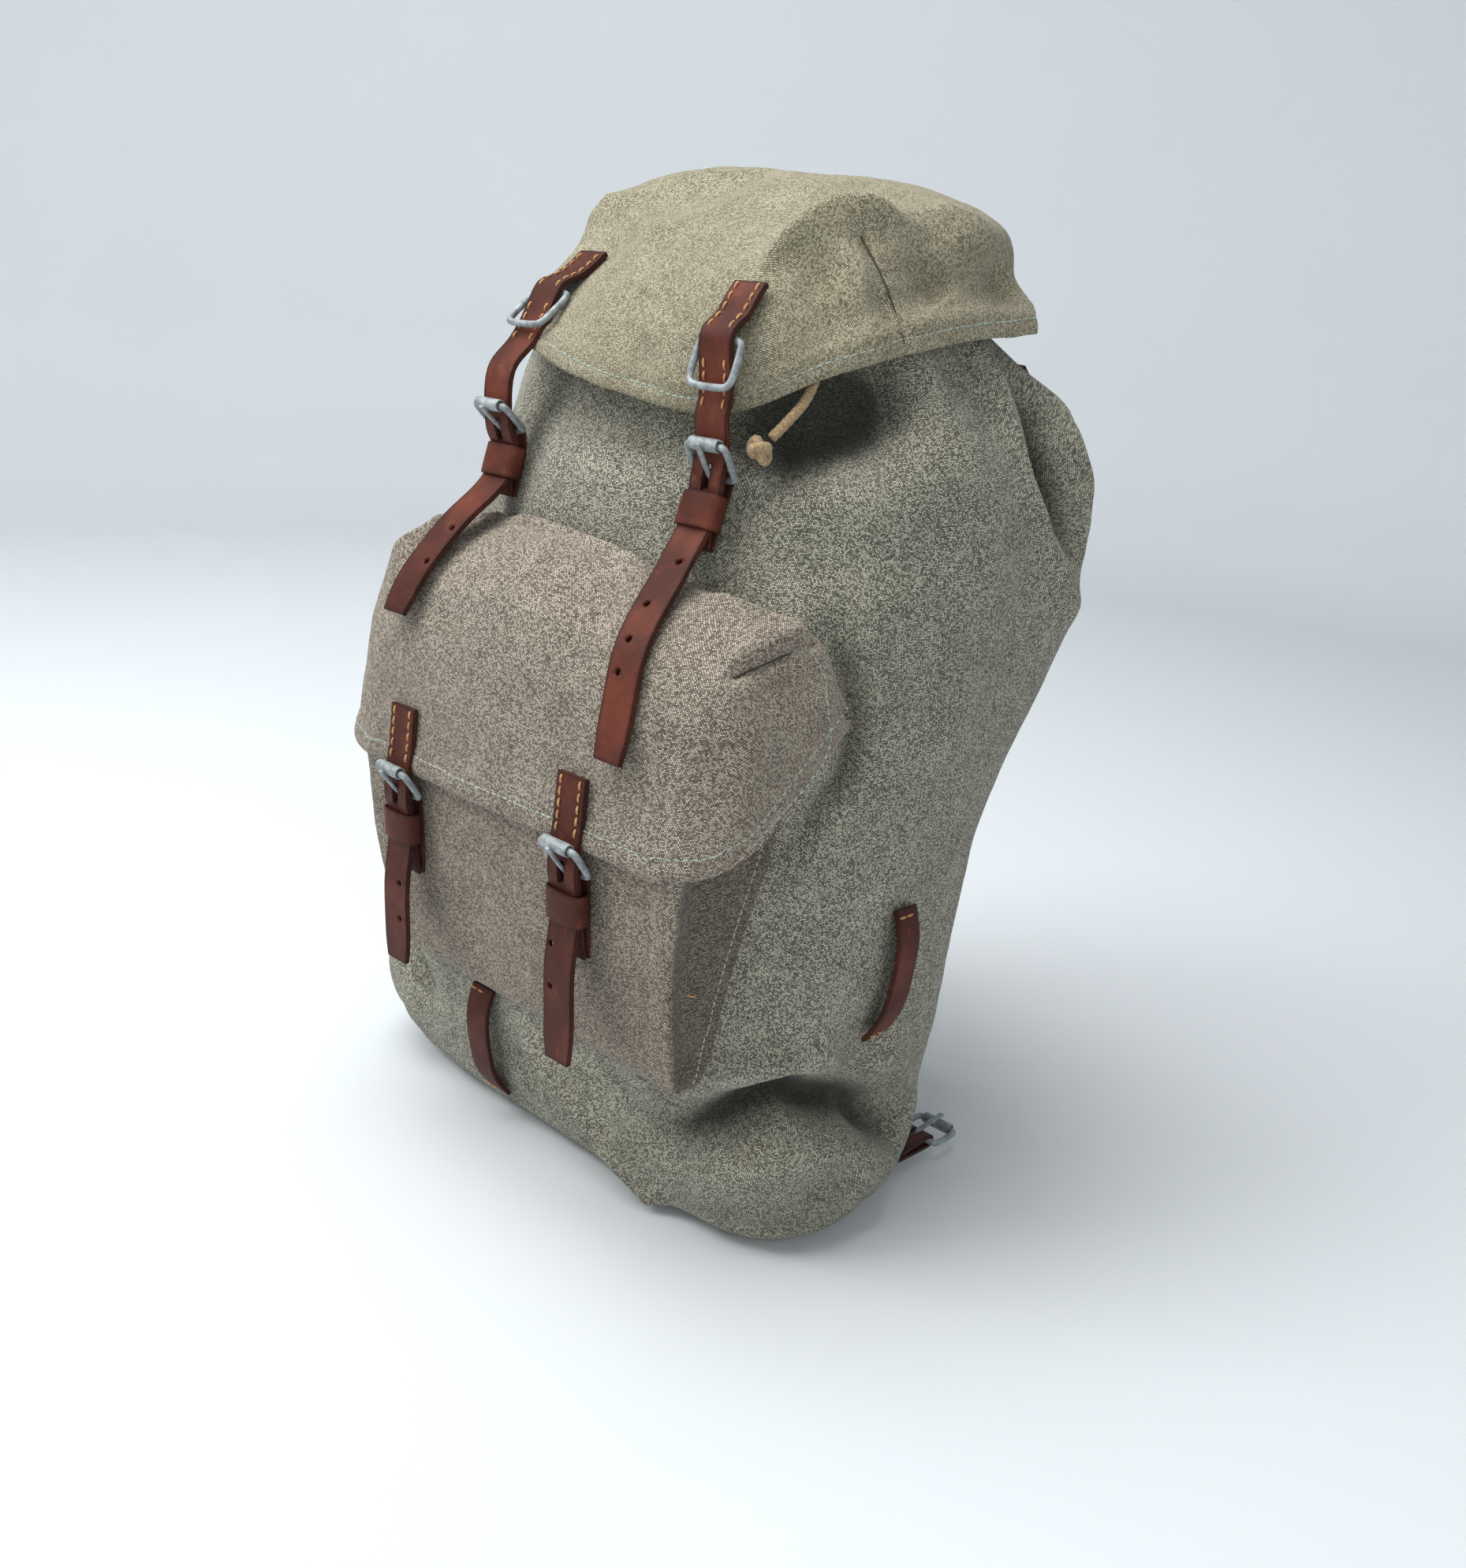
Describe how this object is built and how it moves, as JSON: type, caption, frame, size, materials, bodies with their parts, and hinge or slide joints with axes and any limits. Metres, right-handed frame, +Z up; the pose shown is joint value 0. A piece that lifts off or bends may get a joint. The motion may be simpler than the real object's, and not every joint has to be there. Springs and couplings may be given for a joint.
{
  "type": "military backpack",
  "caption": "Soft canvas military backpack with domed lid, flapped front pocket, leather straps in roller buckles, lash loops, knotted draw cord and shoulder straps.",
  "frame": {"origin": "on the flat base of the sack, under the middle of its width, where it stands", "axes": "+Z up; the pocket faces -Y; +X is to the right seen from the front"},
  "size_m": [0.3727, 0.3392, 0.5686],
  "materials": {
    "sack_cloth": "coarse grey-green flecked weave",
    "lid_cloth": "coarse olive flecked weave",
    "pocket_cloth": "coarse brown-grey flecked weave",
    "leather": "worn, dark edges",
    "metal": "dull galvanized",
    "cord": "twisted fibre"
  },
  "bodies": {
    "pack": {"back_chape_left": "leather", "back_chape_right": "leather", "back_yoke": "leather", "bag_body": "sack_cloth", "bottom_lash_loop": "leather", "draw_cord": "cord", "draw_cord_knot": "cord", "lid": "lid_cloth", "lid_left_buckle": "metal", "lid_left_buckle_roller": "metal", "lid_left_buckle_tongue": "metal", "lid_left_chape": "leather", "lid_left_keeper": "leather", "lid_left_strap": "leather", "lid_right_buckle": "metal", "lid_right_buckle_roller": "metal", "lid_right_buckle_tongue": "metal", "lid_right_chape": "leather", "lid_right_keeper": "leather", "lid_right_strap": "leather", "pocket_body": "pocket_cloth", "pocket_flap": "pocket_cloth", "pocket_left_buckle": "metal", "pocket_left_buckle_roller": "metal", "pocket_left_buckle_tongue": "metal", "pocket_left_chape": "leather", "pocket_left_keeper": "leather", "pocket_left_strap": "leather", "pocket_right_buckle": "metal", "pocket_right_buckle_roller": "metal", "pocket_right_buckle_tongue": "metal", "pocket_right_chape": "leather", "pocket_right_keeper": "leather", "pocket_right_strap": "leather", "shoulder_strap_left": "leather", "shoulder_strap_right": "leather", "side_lash_loop_left": "leather", "side_lash_loop_right": "leather"},
    "lid_ring_right": {"lid_ring_right": "metal"},
    "back_buckle_right": {"back_buckle_right": "metal"},
    "back_buckle_right_roller": {"back_buckle_right_roller": "metal"},
    "back_buckle_right_tongue": {"back_buckle_right_tongue": "metal"},
    "lid_ring_left": {"lid_ring_left": "metal"},
    "back_buckle_left": {"back_buckle_left": "metal"},
    "back_buckle_left_roller": {"back_buckle_left_roller": "metal"},
    "back_buckle_left_tongue": {"back_buckle_left_tongue": "metal"}
  },
  "joints": [
    {"name": "lid_ring_right_swing", "type": "hinge", "parent": "pack", "child": "lid_ring_right", "pos_m": [0.076, -0.06024, 0.47598], "axis": [-1, 0, 0], "range_deg": [0, 100]},
    {"name": "back_buckle_right_swing", "type": "hinge", "parent": "pack", "child": "back_buckle_right", "pos_m": [0.154, 0.09109, 0.013], "axis": [1, 0, 0], "range_deg": [-15, 50]},
    {"name": "back_buckle_right_roller_spin", "type": "hinge", "parent": "back_buckle_right", "child": "back_buckle_right_roller", "pos_m": [0.154, 0.11309, 0.013], "axis": [1, 0, 0], "continuous": true},
    {"name": "back_buckle_right_tongue_lift", "type": "hinge", "parent": "back_buckle_right", "child": "back_buckle_right_tongue", "pos_m": [0.154, 0.09109, 0.013], "axis": [1, 0, 0], "range_deg": [0, 35]},
    {"name": "lid_ring_left_swing", "type": "hinge", "parent": "pack", "child": "lid_ring_left", "pos_m": [-0.073, -0.04125, 0.49011], "axis": [-1, 0, 0], "range_deg": [0, 100]},
    {"name": "back_buckle_left_swing", "type": "hinge", "parent": "pack", "child": "back_buckle_left", "pos_m": [-0.154, 0.09082, 0.013], "axis": [1, 0, 0], "range_deg": [-15, 50]},
    {"name": "back_buckle_left_roller_spin", "type": "hinge", "parent": "back_buckle_left", "child": "back_buckle_left_roller", "pos_m": [-0.154, 0.11282, 0.013], "axis": [1, 0, 0], "continuous": true},
    {"name": "back_buckle_left_tongue_lift", "type": "hinge", "parent": "back_buckle_left", "child": "back_buckle_left_tongue", "pos_m": [-0.154, 0.09082, 0.013], "axis": [1, 0, 0], "range_deg": [0, 35]}
  ]
}
